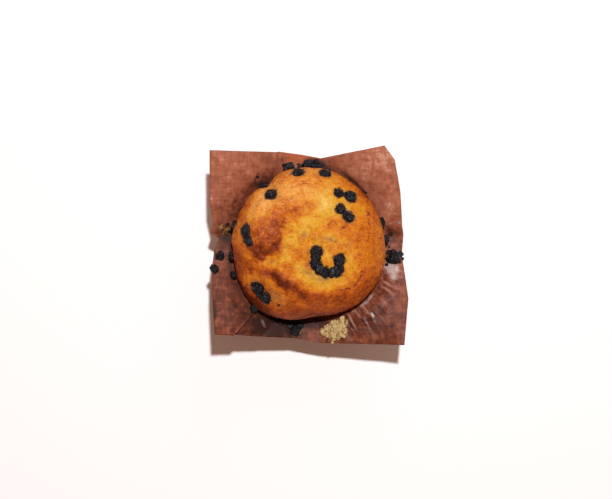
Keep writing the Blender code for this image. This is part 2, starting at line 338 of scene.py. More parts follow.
# Zones of browning, and of painted shade on the first ridge's lower side. 0 is palest.
BROWNING_AND_SHADE = (
    # pale patch, yellow centre and middle, in and round the smile
    (8.3, 20.8, 5.5, 6.5, 10, -0.44), (-1, 11.5, 9, 4.5, 12, -0.16), (-7.2, 3, 5, 8, 0, -0.14),
    (0, 5, 6, 5, 0, -0.06), (9, -5, 4.5, 6, 0, -0.09), (-1.5, -15.5, 8.5, 3.2, -24, -0.3),
    (9, -20, 9, 2.6, 6, -0.28), (20.6, -12, 2.6, 6, 10, -0.2),
    # beside the first ridge
    (-9, -20.4, 6.5, 2.2, -32, 0.24),
    # pale and yellow spots at the lower left
    (-14, -7.5, 3, 3, 0, -0.2), (-18.5, -10.5, 3.5, 2.4, 20, -0.14), (-30, -17, 3.5, 5, 0, -0.1),
    (-17, -28.5, 6, 3.4, -35, -0.18),
    # by the right pair of berries
    (20, 19, 8, 4, -20, -0.1),
    # humps at the upper left
    (-12, 27, 16, 8, 8, -0.14), (-27, 19, 7, 7, 30, -0.12), (-18, 15.5, 9, 2.2, 20, 0.04),
    # left lobe
    (-22, 3, 9, 9, 10, 0.06), (-25, -3.6, 8, 3.6, -10, 0.12),
    # over the smile
    (14, 3.5, 6, 3, 0, -0.16),
    # under the lobe
    (-30.5, -12, 5.2, 5, 0, 0.3), (-24, -12.5, 2.6, 2.4, 0, -0.04),
    # left rim
    (-38, -9, 3.5, 9, 0, 0.26), (-35, 16, 2.6, 9, -30, 0.2),
    # ridges at the lower left and by the centre, the first one darkened below as painted shade
    (-16.8, -18.4, 5.8, 2.3, -42, 0.43), (-6.5, -24.6, 7, 3.6, -30, 0.2),
    (-8.5, -17.2, 4.5, 2.6, -30, 0.06), (-24, -14.5, 4.5, 2.2, -30, 0.16),
    (-9, 15, 5.2, 1.8, 22, 0.12), (-13, 10, 1.8, 4, 0, 0.1),
    # streaks at the top, by the right pair and by the smile
    (-1, 30.6, 7, 1.8, -8, 0.16), (12.2, 9.2, 5, 3.4, -10, 0.12), (-4.5, -3.2, 4, 2, 0, 0.12),
    # lower left, bottom, right side and rim
    (-15, -24, 15, 9, -35, 0.18), (18, -28, 15, 7, 20, 0.1), (6, -29, 20, 5, 4, 0.18),
    (2, -37.5, 26, 3.6, 0, 0.22), (29, -19, 10, 7, 52, 0.12), (-30, -31, 12, 5, -45, 0.54),
    (30, 3, 9, 17, 0, 0.13), (30, 25, 10, 3.5, -48, 0.18),
)
LEAST_BAKED = 0.46  # what the zones of browning and painted shade add to
LOBE = (-23.5, 4, 10.5, 11.5)  # the swollen lobe on the left: x, y, half width, half height
LOBE_HEIGHT, BORDER_HEIGHT, PIT_DEPTH, CRACK_DEPTH, HOLE_DEPTH = 1.5, 0.45, 0.3, 0.3, 1.1
# Layers of noise in the crust's height and in its browning.
RELIEF_NOISE = (
    (0.6, 12, 2, 1, 0), (0.75, 5.2, 2, 5, 0),
    (0.42, 2.6, 2, 9, 0.4), (0.14, 1.3, 2, 13, 1),
)
BAKE_NOISE = ((0.16, 7, 3, 51, 0), (0.12, 2.6, 3, 61, 0.4))
# Zones of small lumps and hollows of the crust, with their heights.
LUMPS = (
    # the first ridge, and under it and the second
    (-12.5, -16.6, 6.5, 2.8, -36, 0.8), (-17.4, -19.8, 5, 1.8, -42, -0.65),
    (-8, -25.4, 6, 2, -26, -0.3),
    # bumps at the bottom, left of the smile and above that
    (3, -27.5, 6, 3, 0, 0.4), (-3.5, -7.5, 3.4, 2.6, 0, 0.4), (-6, 8, 3.4, 2.6, 40, 0.35),
    # the pale patch, and the hollow beside it
    (8.5, 20.5, 4, 4.6, 0, 0.4), (3, 17, 1.8, 3.4, -20, -0.5),
    # a lip left of the middle, and a hollow at the lower left
    (-12, 9, 2, 4, 20, 0.5), (-21, -19.8, 3.2, 2, 20, -0.5),
)
# Zones of painted sheen, a rosy gold, where the crust is smooth and glossy and faces the light.
ROSY_TINT_AND_SHEEN = (
    (-10, 27, 20, 10, 8, 0.85),  # upper left hump
    (-26, 20, 10, 8, 30, 0.7),  # left of it
    (-6, -27, 12, 4, -14, 0.3),  # lower ridge
)

# Zones of berry juice on the crust.
JUICE = (
    # spots on the right
    (30.6, 15, 0.9, 1.6, 0, 1.2), (31.2, 10.5, 0.8, 2.2, 8, 1.2), (30.8, 5, 0.8, 2.2, -5, 1),
    (30.2, 2.2, 0.7, 1.2, 0, 0.8), (30.2, 22, 0.8, 0.6, 30, 0.8),
    (26.2, 17, 0.7, 0.6, 0, 0.6), (25.5, 3.5, 0.7, 0.5, 0, 0.5),
    # spots in the middle
    (17.4, 8, 2.4, 1.2, 20, 0.9), (14.2, 10.4, 0.7, 1.2, -20, 0.6), (1, 19.5, 0.9, 0.7, 0, 0.4),
    # streak at the top
    (-2.5, 30.2, 2.6, 0.5, -14, 0.6), (-7, 31.2, 0.9, 0.5, 0, 0.6),
    # specks at the upper left
    (-31, 18.5, 0.7, 0.6, 0, 0.6), (-28, 12, 0.9, 0.8, 0, 0.5),
    # the edge at the upper right, and a drop at the top
    (26.5, 31, 5, 1.1, -50, 0.7), (-4, 29.5, 0.8, 0.5, 0, 0.7),
)
# Zones of grey bruises, where a berry lies just under the crust.
BRUISES = (
    # left of the middle, over the smile and right of it
    (-2.2, 4.6, 1.4, 2.8, -10, 0.5), (10.5, 2, 4.2, 1.1, -10, 0.75), (20, -1, 1.6, 2.6, 0, 0.25),
    # lower left, and below the smile
    (-12, -1.5, 2.4, 3, 0, 0.2), (0.5, -15.4, 5.4, 1.6, -30, 0.5), (7.6, -18.8, 5, 1.3, 0, 0.5),
    # by the first ridge, and round the lower left pair of berries
    (-19.5, -9.2, 1.6, 1.6, 0, 0.4), (-18, -26.6, 3.4, 2.4, -30, 0.6),
    (-14, -30.8, 2.2, 2.6, 0, 0.35), (-28, -20.5, 3.4, 1.8, 30, 0.5),
)
# The crack that juice came through, right of the smile: bent lines of points (x, y).
JUICE_CRACKS = (
    ((27, -14.2), (26.9, -17), (25.6, -19.8), (23.6, -21.6)),
    ((23.8, -22.2), (20.6, -23.4), (16.6, -24.2)),
)
# the crown's dark edge: burnt, and painted shade of the gap under it
DARK_RIM_DIRECTION, DARK_RIM_WIDTH = 50, 16  # where the crown's edge is burnt
SMALL_HOLE = (-15.6, -32.2, 0.9)  # a hole in the crust: x, y and radius


def outline_change(direction):
    apart = [(direction - at + 180) % 360 - 180 for at, _, _ in OUTLINE_WAVES]
    return sum(change * bell(off, wide) for off, (_, wide, change) in zip(apart, OUTLINE_WAVES))


def wall_radius(z):
    return BASE_RADIUS + (RIM_OF_CUP_RADIUS - BASE_RADIUS) * z / WALL_TOP


def crust_profile():
    """Radii and heights from the dome's top down to the foot."""
    angle = np.linspace(math.pi / 2, 0, 2000)
    radius = CROWN_RADIUS * np.cos(angle) ** DOME_FULLNESS
    height = CROWN_Z + (CROWN_TOP - CROWN_Z) * np.sin(angle)
    length = np.concatenate([[0], np.cumsum(np.hypot(np.diff(radius), np.diff(height)))])
    at = np.linspace(0, length[-1], DOME_RINGS)
    dome = np.stack([np.interp(at, length, radius), np.interp(at, length, height)], 1)
    angle = np.linspace(0, math.pi / 2, UNDERSIDE_RINGS + 1)[1:]
    neck = wall_radius(NECK_Z) - PAPER / 2 - GAP
    under_radius = neck + (CROWN_RADIUS - neck) * np.cos(angle)
    under_height = CROWN_Z - (CROWN_Z - NECK_Z) * np.sin(angle)
    foot_z, rounding = PAPER + GAP, 2
    z = np.linspace(NECK_Z, foot_z + rounding, BODY_RINGS + 1)[1:]
    body = np.stack([wall_radius(z) - PAPER / 2 - GAP, z], 1)
    foot = [(body[-1, 0] - rounding, foot_z), (0.01, foot_z)]
    return np.concatenate([dome, np.stack([under_radius, under_height], 1), body, foot])


def berry_spots():
    """(centre, radius) in millimetres of each CAD berry."""
    spots = []
    for name in BERRIES:
        low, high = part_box(name)
        spots.append((np.array((low + high) / 2) * 1000, (high - low)[0] * 500))
    return spots


def distance_to_line(x, y, line):
    """Distance from points to the nearest place on a bent line."""
    best = np.full(x.shape, np.inf)
    for (ax, ay), (bx, by) in zip(line, line[1:]):
        way = np.array((bx - ax, by - ay))
        share = np.clip(((x - ax) * way[0] + (y - ay) * way[1]) / (way @ way), 0, 1)
        best = np.minimum(best, np.hypot(x - ax - way[0] * share, y - ay - way[1] * share))
    return best


def left_lobe(flat):
    """Distance from the middle of the swollen lobe on the left: 1 is its edge."""
    x, y, _ = flat.T
    away = np.hypot((x - LOBE[0]) / LOBE[2], (y - LOBE[1]) / LOBE[3])
    return away + 0.3 * fractal(flat, 9, 3, 20)


def golden_border(flat):
    """How far a point lies above the edge of the golden hump over the crust's middle."""
    x, y, _ = flat.T
    return y - 13.5 - 0.3 * x + 3.6 * fractal(flat, 7, 2, 24)


def pits(flat):
    """From 0 to 1 in the small dimples of the crust."""
    return between(noise(flat, 2, 15) + 0.5 * noise(flat, 1.1, 16), 0.16, 0.5)


def small_hole(x, y):
    """Distance from the middle of the small hole: 1 is its edge."""
    return np.hypot(x - SMALL_HOLE[0], y - SMALL_HOLE[1]) / SMALL_HOLE[2]


def roughness(x, y, rough_zone, least):
    """1 in the rough zone, falling to this least value."""
    return least + (1 - least) * np.clip(1.4 * blob(x, y, rough_zone), 0, 1)


def crust_relief(flat, crown):
    """Height of the crust's bumps, lobes and cracks. Crown is 1 on the crown, 0 below."""
    x, y, _ = flat.T
    rough = roughness(x, y, (-10, 2, 26, 30, 0), 0.5)
    relief = layered(flat, RELIEF_NOISE, rough)
    relief -= PIT_DEPTH * pits(flat) * (0.35 + 0.65 * rough)
    lobe = (1 - between(left_lobe(flat), 0.44, 1.1)) * (1 - 0.75 * between(y, 5, 14))
    relief += LOBE_HEIGHT * lobe * crown
    edge = 1.6 * fractal(flat, 9, 2, 20)
    relief += zones(x + edge, y + edge, LUMPS) * crown
    border = bell(x + 12, 11) * between(golden_border(flat), -1.4, 1.6)
    relief += BORDER_HEIGHT * border * crown
    for line in JUICE_CRACKS:
        relief -= CRACK_DEPTH * bell(distance_to_line(x, y, line), 0.5) * crown
    relief -= HOLE_DEPTH * bell(small_hole(x, y), 1) * crown
    return relief


def berry_dents(flat, spots):
    """How deep the crust is pressed in at the berries, and their nearness from 0 to 1."""
    dents, near = np.zeros(len(flat)), np.zeros(len(flat))
    for centre, radius in spots:
        away = np.linalg.norm(flat - centre, axis=1) / radius
        away += 0.35 * noise(flat, 2.2, 33)
        dents += 1.2 * (1 - between(away, 0.5, 1.3)) * radius / 3
        near = np.maximum(near, bell(np.maximum(away - 0.95, 0), 0.62))
    return dents, near


def make_crust(look):
    profile = crust_profile()
    theta = np.linspace(0, 2 * math.pi, CRUST_COLUMNS, endpoint=False)
    radius, z = (np.tile(profile[:, k], (CRUST_COLUMNS, 1)) for k in (0, 1))
    crown = smooth((z - NECK_Z) / (CROWN_Z - NECK_Z))
    radius = radius * (1 + crown * outline_change(np.degrees(theta))[:, None] / CROWN_RADIUS)
    x, y = radius * np.cos(theta)[:, None], radius * np.sin(theta)[:, None]
    dome = smooth((z - CROWN_Z) / (0.35 * (CROWN_TOP - CROWN_Z)))
    normal = unit(np.stack([x, y, (z - CROWN_Z) * DOME_FLATNESS], -1))
    swell = sum(
        height * np.exp(-((x - at_x) ** 2 + (y - at_y) ** 2) / width**2)
        for at_x, at_y, width, height in CRUST_SWELLS
    )
    grid = np.stack([x, y, z], -1) + normal * (dome * swell)[..., None]
    flat = grid.reshape(-1, 3)
    height = flat[:, 2]
    spots = [s for s in berry_spots() if np.hypot(*s[0][:2]) < 43 and s[0][2] > 40]
    relief = crust_relief(flat, between(height, 36, 44))
    dents, near = berry_dents(flat, spots)
    side = 0.35 + 0.65 * between(height, 24, 42)  # the cake is smoother in the paper
    push = (relief * side - dents) * np.where(height < 36, 0.35, 1)
    normals = grid_normals(grid).reshape(-1, 3)
    at_the_pole = between(np.hypot(flat[:, 0], flat[:, 1]), 0, 0.4) < 1
    normals[at_the_pole] = (0, 0, 1)
    points = flat + normals * push[:, None]
    points[height < 3] = flat[height < 3]
    attributes = crust_attributes(flat, relief, near)
    faces = grid_faces(CRUST_COLUMNS, len(profile))
    return piece("crust", points, faces, look, ["muffin"], "crust", attributes)


def zones(x, y, table, combine=np.add):
    """The amounts of a table's zones at each point, added up or the largest taken."""
    total = np.zeros(len(x))
    for *spot, amount in table:
        total = combine(total, amount * blob(x, y, spot))
    return total


def burnt_and_shaded_rim(flat):
    """From 0 to 1 on the dark edge of the crown at the upper right: burnt, and painted shade of the
    gap under it.
    """
    x, y, z = flat.T
    apart = np.degrees(np.arctan2(y, x)) - DARK_RIM_DIRECTION
    width = between(-z, -51.5, -48.5) + 0.8 * fractal(flat, 2.4, 2, 95)
    return np.clip(bell(apart, DARK_RIM_WIDTH) * width * between(z, 40, 43), 0, 1)


def crust_attributes(flat, relief, near):
    x, y, z = flat.T
    wobble = 3.6 * fractal(flat, 9, 3, 31), 3.6 * fractal(flat, 9, 3, 41)
    u, v = x + wobble[0], y + wobble[1]
    nudged = x + 0.15 * wobble[0], y + 0.15 * wobble[1]
    rough = roughness(x, y, (-12, 2, 26, 34, 0), 0.45)
    lobe = left_lobe(flat)
    inside = (1 - between(lobe, 0.88, 1.08)) * between(x - 0.6 * y, -42, -24)
    # the lobe's foot: painted shade along its lower edge, under its overhang
    foot = bell(lobe - 0.9, 0.17) * (0.25 + 0.75 * between(-y, -5, 3)) * between(-y, -16, -10)
    border = between(golden_border(flat), -0.9, 0.9) * blob(x, y, (-5, 17, 11, 5, 20))
    bake = LEAST_BAKED + zones(u, v, BROWNING_AND_SHADE) + layered(flat, BAKE_NOISE, rough)
    bake += 0.17 * inside + 0.19 * foot + 0.12 * border
    bake += 0.09 * between(np.hypot(x, y), 30, 40) + 0.06 * between(-z, -50, -41)
    bake += 0.06 * between(-y, 8, 32) + 0.12 * np.clip(relief, -0.8, 0.8)
    # darker in the dimples: painted shade
    bake += 0.12 * pits(flat) * (0.4 + 0.6 * rough)
    juice = zones(*nudged, JUICE, np.maximum)
    for line in JUICE_CRACKS:
        crack = distance_to_line(x, y, line) + 0.6 * noise(flat, 2.2, 71)
        broken = 0.9 + 1.1 * noise(flat, 1.6, 73)
        juice = np.maximum(juice, broken * bell(crack, 0.7) * (z > CROWN_Z))
    # rosy gold: painted sheen in the zones, and the lobe's own rosier colour
    rosy_tint_and_sheen = zones(u, v, ROSY_TINT_AND_SHEEN) + 0.7 * inside + 0.15 * fractal(flat, 6, 2, 81)
    bruise = zones(*nudged, BRUISES) * (1 + fractal(flat, 2.5, 2, 91))
    return {
        "bake": np.clip(bake, 0, 1.2),
        "rosy_tint_and_sheen": np.clip(rosy_tint_and_sheen, 0, 1),
        "juice": juice,
        "bruise": np.clip(bruise, 0, 1),
        # painted shade in the small hole
        "hole_shade": bell(small_hole(x, y), 0.9) * (z > CROWN_Z),
        "near_berry": near,
        "crumb": between(-z, -40.5, -36),
        "burnt_and_shade": burnt_and_shaded_rim(flat),
    }


# Crust colours, pale to dark, and rosy ones: (share of browning and painted shade, colour).
GOLDEN = (
    (0, (246, 198, 104)), (0.14, (231, 169, 50)), (0.3, (225, 154, 28)),
    (0.46, (219, 128, 18)), (0.6, (202, 102, 16)), (0.75, (172, 74, 13)),
    (0.9, (130, 48, 9)), (1, (98, 33, 7)),
)
ROSY_GOLD = (
    (0.1, (246, 180, 98)), (0.4, (236, 149, 62)), (0.6, (207, 105, 36)),
    (0.8, (156, 64, 21)), (1, (102, 37, 14)),
)


def crust_look():
    look = Look("baked_crust")
    mottle, fine = look.noise(3, 4, 0.62), look.noise(1)
    # browning, with painted shade under the first ridge, along the lobe's foot and in the pits
    bake = look.add("bake", look.sway(mottle, 0.085), look.sway(fine, 0.085))
    patches = look.remap(look.noise(2.6, warp=0.6), 0.5, 0.6, 0, 0.45)
    patches = look.patchy(patches, bake, 0.2, 0.55, 1, 0)
    colour = look.paint(look.ramp(bake, GOLDEN), patches, (232, 178, 70))
    # painted sheen in rosy gold, and the lobe's rosier colour
    colour = look.mix("rosy_tint_and_sheen", colour, look.ramp(bake, ROSY_GOLD))
    glints = look.remap(look.noise(0.9, 2, 0.5, (0.5, 1.2, 1)), 0.56, 0.7, 0, 0.55)
    glints = look.times(glints, look.math("MAXIMUM", "rosy_tint_and_sheen", 0.25))
    glints = look.patchy(glints, bake, 0.45, 0.8, 1, 0.25)
    colour = look.paint(colour, glints, (255, 206, 150))
    # dark pores: painted shade in small holes of the crust
    pore_shade = look.patchy(look.noise(0.7, 2, 0.5), mottle, 0.4, 0.65, 0.8, 1.15)
    colour = look.paint(colour, look.remap(pore_shade, 0.6, 0.72, 0, 0.5), (120, 52, 26))
    bruise = look.patchy("bruise", mottle, 0.35, 0.65, 0.5, 1.2)
    colour = look.paint(colour, bruise, (150, 106, 66))
    tint = look.patchy("near_berry", mottle, 0.35, 0.65, 0.5, 1)
    colour = look.paint(colour, look.remap(tint, 0.25, 0.95, 0, 0.8), (128, 92, 52))
    edge = look.patchy("near_berry", fine, 0.3, 0.7, 0.75, 1.15)
    colour = look.paint(colour, look.remap(edge, 0.7, 1, 0, 0.95), (58, 34, 40))
    juice = look.patchy("juice", fine, 0.35, 0.62, 0.3, 1.3)
    colour = look.paint(colour, look.remap(juice, 0.3, 0.8, 0, 0.8), (122, 26, 38))
    # the small hole painted dark: painted shade inside it
    colour = look.paint(colour, "hole_shade", (44, 20, 12))
    # the burnt edge, with painted shade of the gap under it
    burnt_and_shade = look.remap("burnt_and_shade", 0.3, 0.7, 0, 0.85)
    colour = look.paint(colour, burnt_and_shade, (66, 26, 18))
    colour = look.paint(colour, "crumb", (196, 128, 56))
    grain = look.bump(look.noise(0.6), 0.16, 0.9)
    return look.shaded(
        Base_Color=colour,
        Roughness=look.remap("rosy_tint_and_sheen", 0, 1, 0.55, 0.4),
        Specular_IOR_Level=0.13,
        Subsurface_Weight=0.06,
        Subsurface_Radius=(1, 0.45, 0.15),
        Subsurface_Scale=0.0012,
        Normal=look.bump(look.noise(1.7), 0.45, 0.9, grain),
    )


# ---- the tulip case


class Column:
    """One line of the case's sheet, from its base's middle out to its edge. Its share is
    how far along its panel it is, or below 0 in a fold."""

    def __init__(self, direction, edge, slope, depth, share):
        self.direction, self.edge = direction, np.array(edge, float)
        self.slope, self.depth, self.share = slope, depth, share
        self.base_direction = direction


def on_line(points, share):
    """The point at this share of a bent line's length."""
    points = np.array(points, float)
    lengths = np.linalg.norm(np.diff(points, axis=0), axis=1)
    ends = np.concatenate([[0], np.cumsum(lengths)])
    return np.array([np.interp(share * ends[-1], ends, points[:, k]) for k in range(3)])


def edge_shares(points, count):
    """Even shares of a bent line's length, the nearest one moved to each corner."""
    lengths = np.linalg.norm(np.diff(np.array(points, float), axis=0), axis=1)
    shares = [i / count for i in range(count + 1)]
    for corner in np.cumsum(lengths)[:-1] / lengths.sum():
        shares[min(max(round(corner * count), 1), count - 1)] = corner
    return shares


def panel_columns(span, points, slope, count, start_behind, end_behind):
    columns = []
    for share in edge_shares(points, count):
        depth = FOLD_DEPTH * max(start_behind, end_behind)
        if start_behind > end_behind:
            depth *= smooth((1 - share) / UP_OVER)
        if start_behind < end_behind:
            depth *= smooth(share / UP_OVER)
        direction = span[0] + (span[1] - span[0]) * share
        columns.append(Column(direction, on_line(points, share), slope, depth, share))
    return columns


def fold_columns(end, start):
    """Two round turns of the paper with a flat stretch between them."""
    sideways = unit(end.edge - start.edge) * TURN
    turned_by = math.degrees(TURN / RIM_OF_CUP_RADIUS)
    angles = np.linspace(0, math.pi, FOLD_STEPS + 1)
    steps = [(end, math.sin(phi), (1 - math.cos(phi)) / 6) for phi in angles[1:]]
    steps += [(start, -math.sin(phi), 2 / 3 + (1 - math.cos(phi)) / 6) for phi in angles[:-1]]
    columns = []
    for side, turn, share in steps:
        depth = end.depth + (start.depth - end.depth) * share
        edge = side.edge + sideways * turn
        columns.append(Column(side.direction + turned_by * turn, edge, side.slope, depth, -1))
    return columns


def case_columns():
    panels = [panel_columns(*panel) for panel in PANELS]
    columns = []
    for panel, following in zip(panels, panels[1:] + panels[:1]):
        start = following[0]
        if np.allclose(panel[-1].edge, start.edge):  # a crease, pressed flat, and not a fold
            columns += panel[:-1]
            continue
        columns += panel
        if start.direction < panel[0].direction:
            start = Column(start.direction + 360, start.edge, start.slope, start.depth, 0)
        columns += fold_columns(panel[-1], start)
    directions = [c.direction for c in columns] + [columns[0].direction + 360]
    steps = np.abs(np.diff(directions))  # on the flat base, the folds don't turn back
    at = np.concatenate([[0], np.cumsum(steps * 360 / steps.sum())[:-1]])
    shift = np.mean([c.direction for c in columns]) - at.mean()
    for column, base in zip(columns, at + shift):
        column.base_direction = base
    return columns


def polar(radius, direction, z):
    angle = np.radians(direction)
    return np.stack(np.broadcast_arrays(radius * np.cos(angle), radius * np.sin(angle), z), -1)


def column_points(column):
    floor, turn = PAPER / 2, column.base_direction
    inner = (BASE_RADIUS - BASE_ROUNDING) * np.linspace(0, 1, BASE_ROWS + 1)[1:]
    bend = np.radians(np.linspace(0, 90, 5)[1:-1])
    bend_radius = BASE_RADIUS - BASE_ROUNDING * (1 - np.sin(bend))
    bend_height = floor + BASE_ROUNDING * (1 - np.cos(bend))
    off = (column.direction - PEELED_DIRECTION + 180) % 360 - 180
    top = WALL_TOP + (PEELED_WALL_TOP - WALL_TOP) * bell(off, PEELED_WIDTH)
    share = np.linspace(0, 1, WALL_ROWS)
    folded = smooth((share - WALL_SHARES[0]) / (1 - WALL_SHARES[0]))
    direction = turn + (column.direction - turn) * folded
    z = floor + BASE_ROUNDING + (top - BASE_ROUNDING) * share
    depth = column.depth * np.minimum(1, share / WALL_SHARES[1])
    parts = (
        polar(inner, turn, floor),
        polar(bend_radius, turn, bend_height),
        polar(wall_radius(z) + depth, direction, z),
        flare_points(column, top, np.linspace(0, 1, FLARE_ROWS + 1)[1:, None]),
    )
    return np.concatenate(parts)


def flare_points(column, top, t):
    """A smooth curve from the wall's top to the sheet's edge."""
    z = PAPER / 2 + top
    start = polar(wall_radius(z), column.direction, z)
    reach = column.edge - start
    level = unit(reach * (1, 1, 0))
    leave, arrive = math.radians(LEAVE_ANGLE), math.radians(column.slope)
    radial, up = polar(1, column.direction, 0), np.array((0, 0, 1))
    first = start + LEAVE_LENGTH * (radial * math.cos(leave) + up * math.sin(leave))
    end_way = level * math.cos(arrive) + up * math.sin(arrive)
    second = column.edge - end_way * np.linalg.norm(reach) * FLARE_SHARE
    s = 1 - t
    curve = s**3 * start + 3 * s * s * t * first + 3 * s * t * t * second + t**3 * column.edge
    way = s * s * (first - start) + 2 * s * t * (second - first) + t * t * (column.edge - second)
    way = unit(way)
    behind = -up + way * way[:, 2:]
    return curve + unit(radial * way[:, 2:] + behind * 0.5) * column.depth


# Zones of the paper's tone, some of them painted shade by the crown. Above 0 is lighter.
PAPER_TONES = (
    # upper left petal, its inner side darker with grease and painted shade
    (-41, 38, 14, 14, 0, 0.1), (-50.5, 28, 2.4, 24, 0, 0.08), (-25, 31.5, 11, 5, 40, -0.46),
    (-37, 17, 6, 9, -20, -0.42),
    # the lower left petal's left edge, and the upper left petal's right half
    (-48.9, -37, 0.6, 9, -8, -0.5), (-22, 44, 10, 6, 0, -0.04),
    # upper right petal, darker along the crown's edge with grease and painted shade
    (34, 42, 12, 12, 20, 0.16), (41, 43, 8, 8, 0, 0.08), (20, 36, 12, 2.6, -32, -0.22),
    (44, 22, 5, 12, 0, 0.02), (42, 17, 2.5, 5, -20, 0.26),
    # right strip and edge
    (46, 4, 5, 7, 0, -0.2), (48, -22, 3, 14, 0, 0.1),
    # lower right petal, and painted shade under the crown's bottom edge
    (30, -42, 18, 10, 30, -0.04), (44, -46, 8, 6, 0, -0.06), (36, -24, 5, 14, -38, 0.02),
    (2, -42, 16, 3.4, 0, -0.4),
    # bottom strip
    (-18, -44.5, 12, 5, -5, -0.9),
    # lower left petal
    (-32, -37, 9, 4.5, -38, -0.2), (-38, -16, 5, 12, 10, -0.14), (-34, -44, 10, 2.4, 20, 0.08),
    # left strip
    (-45, 3, 5, 6, 0, -0.5),
    # painted shade under the top notch, and a greyer patch at the bottom
    (9, 40, 8, 2.6, -26, -0.3), (2, -47, 5, 4, 0, 0.2),
)
# Zones of dark sticky stains on the paper, and of painted shade by the crown's edge and in the
# notches.
STAINS_AND_SHADE = (
    # top cluster, and painted shade on the strip behind the upper right petal's edge
    (0.4, 41.6, 5.4, 2.4, 8, 1.3), (8.8, 39.4, 7.5, 1.7, -31, 1.2),
    # on the right
    (45, -7, 4.6, 3.8, 0, 1.2), (42.6, 5.5, 2.2, 4.6, 20, 1.1), (45.5, 1.5, 1.6, 1.6, 0, 0.5),
    # bottom cluster, and grease with painted shade along the crown's edge from there up the left
    # side
    (-7, -43.4, 5, 3.4, 20, 1.2), (-16, -40.5, 9, 2, -8, 1), (-28, -34, 5.5, 2.6, -42, 1),
    (-37, -23, 7, 2.2, -62, 0.75), (-41, -7, 2.4, 10, 0, 0.85),
    # left notch, where the strip lies in painted shade under the petal's edge
    (-43, 8.6, 3.4, 2.4, 30, 0.5), (-43, 2.6, 3.6, 1.4, -8, 1.1),
    # upper left, the first along the crown's edge with grease and painted shade
    (-23, 31, 4.4, 1.5, 40, 0.8), (-45.5, 14.5, 2.4, 1.6, 0, 0.45), (-39, 21, 1.6, 1.2, 0, 0.25),
    # upper right, along the crown's edge: burnt bits and painted shade
    (23, 32.6, 9, 1.2, -40, 1.3), (13.5, 44.6, 0.9, 0.6, 0, 0.6),
    # a dark line at the upper left notch: painted shadow of the upper left petal's edge
    (-12.9, 43.8, 0.7, 3.4, 0, 0.75),
    # painted shadow under the crown's bottom edge, and beside the crumbs
    (-4, -40.4, 7, 1.8, 0, 0.8), (5.5, -40.2, 3.4, 1.4, 0, 0.8), (15.5, -40.6, 2.4, 1.2, 20, 0.5),
)
# Zones where the paper is greasy, smooth and crinkled.
GREASE = (
    (39, -18, 8, 17, -20, 1.3),  # lower right petal
    (28, -38, 15, 8, 35, 1.3),  # lower right petal, low
    (45, 12, 5, 9, 0, 0.8),  # right strip
    (-21, -42, 4, 5, 20, 0.3),  # bottom strip
)
# Zones of painted sheen, grey, where a film of grease shines.
SILVER_SHEEN = (
    # a patch on the right
    (43.4, -13.2, 3, 2.6, 20, 2), (44, -17, 2.2, 3.4, 10, 0.8),
    # a crease and light streaks above it
    (45.8, 10.8, 3.4, 0.4, 2, 0.9), (41.8, 19.5, 0.5, 3.4, -30, 0.8),
    (44.6, 15.5, 0.5, 3, -40, 0.7),
    # streaks and haze on the lower right petal
    (30.2, -30.4, 5.5, 0.7, 45, 1.2), (30, -38, 3.2, 0.6, 62, 0.5), (25, -45, 7, 2, 10, 0.3),
    # at the bottom
    (-24, -41.4, 0.7, 2.8, 28, 0.6), (-3, -45.5, 0.9, 4.5, -5, 0.3),
)


# Layers of noise in the paper's height.
PAPER_WAVES = ((1.6, 30, 2, 101, 1), (0.4, 10, 3, 105, 1))
CREASE_DEPTH, CRINKLE_HEIGHT, SHARP_CRINKLE_HEIGHT, PLEAT_HEIGHT = 0.3, 0.9, 0.55, 0.22


def rays(flat):
    """Places for noise that is stretched away from the muffin's axis."""
    x, y, _ = flat.T
    return np.stack([np.arctan2(y, x) * 42, np.hypot(x, y) * 0.2, np.zeros(len(x))], 1)


def paper_relief(flat, along_fold, reach):
    """Height of the paper's waves, creases and crinkles. Reach is 0 at the wall's top
    and 1 at the sheet's edge."""
    x, y, z = flat.T
    free = between(reach, 0.15, 0.5) * (1 - along_fold)
    relief = layered(flat, PAPER_WAVES, 1) * free
    relief -= CREASE_DEPTH * bell(noise(flat, 15, 111), 0.03) * free
    ray = rays(flat)
    greasy = grease(x, y) * (1 - along_fold) * between(reach, 0.05, 0.3)
    relief += CRINKLE_HEIGHT * fractal(ray, 4.6, 2, 121) * greasy
    relief += SHARP_CRINKLE_HEIGHT * bell(noise(ray, 3.4, 125), 0.07) * greasy
    wall = (reach <= 0) * (1 - along_fold) * between(z, 3, 12)
    pleat = np.stack([np.arctan2(y, x) * 25, z * 0.12, np.zeros(len(x))], 1)
    relief += PLEAT_HEIGHT * noise(pleat, 3, 131) * wall
    return relief


def grease(x, y):
    return np.clip(zones(x, y, GREASE, np.maximum), 0, 1)


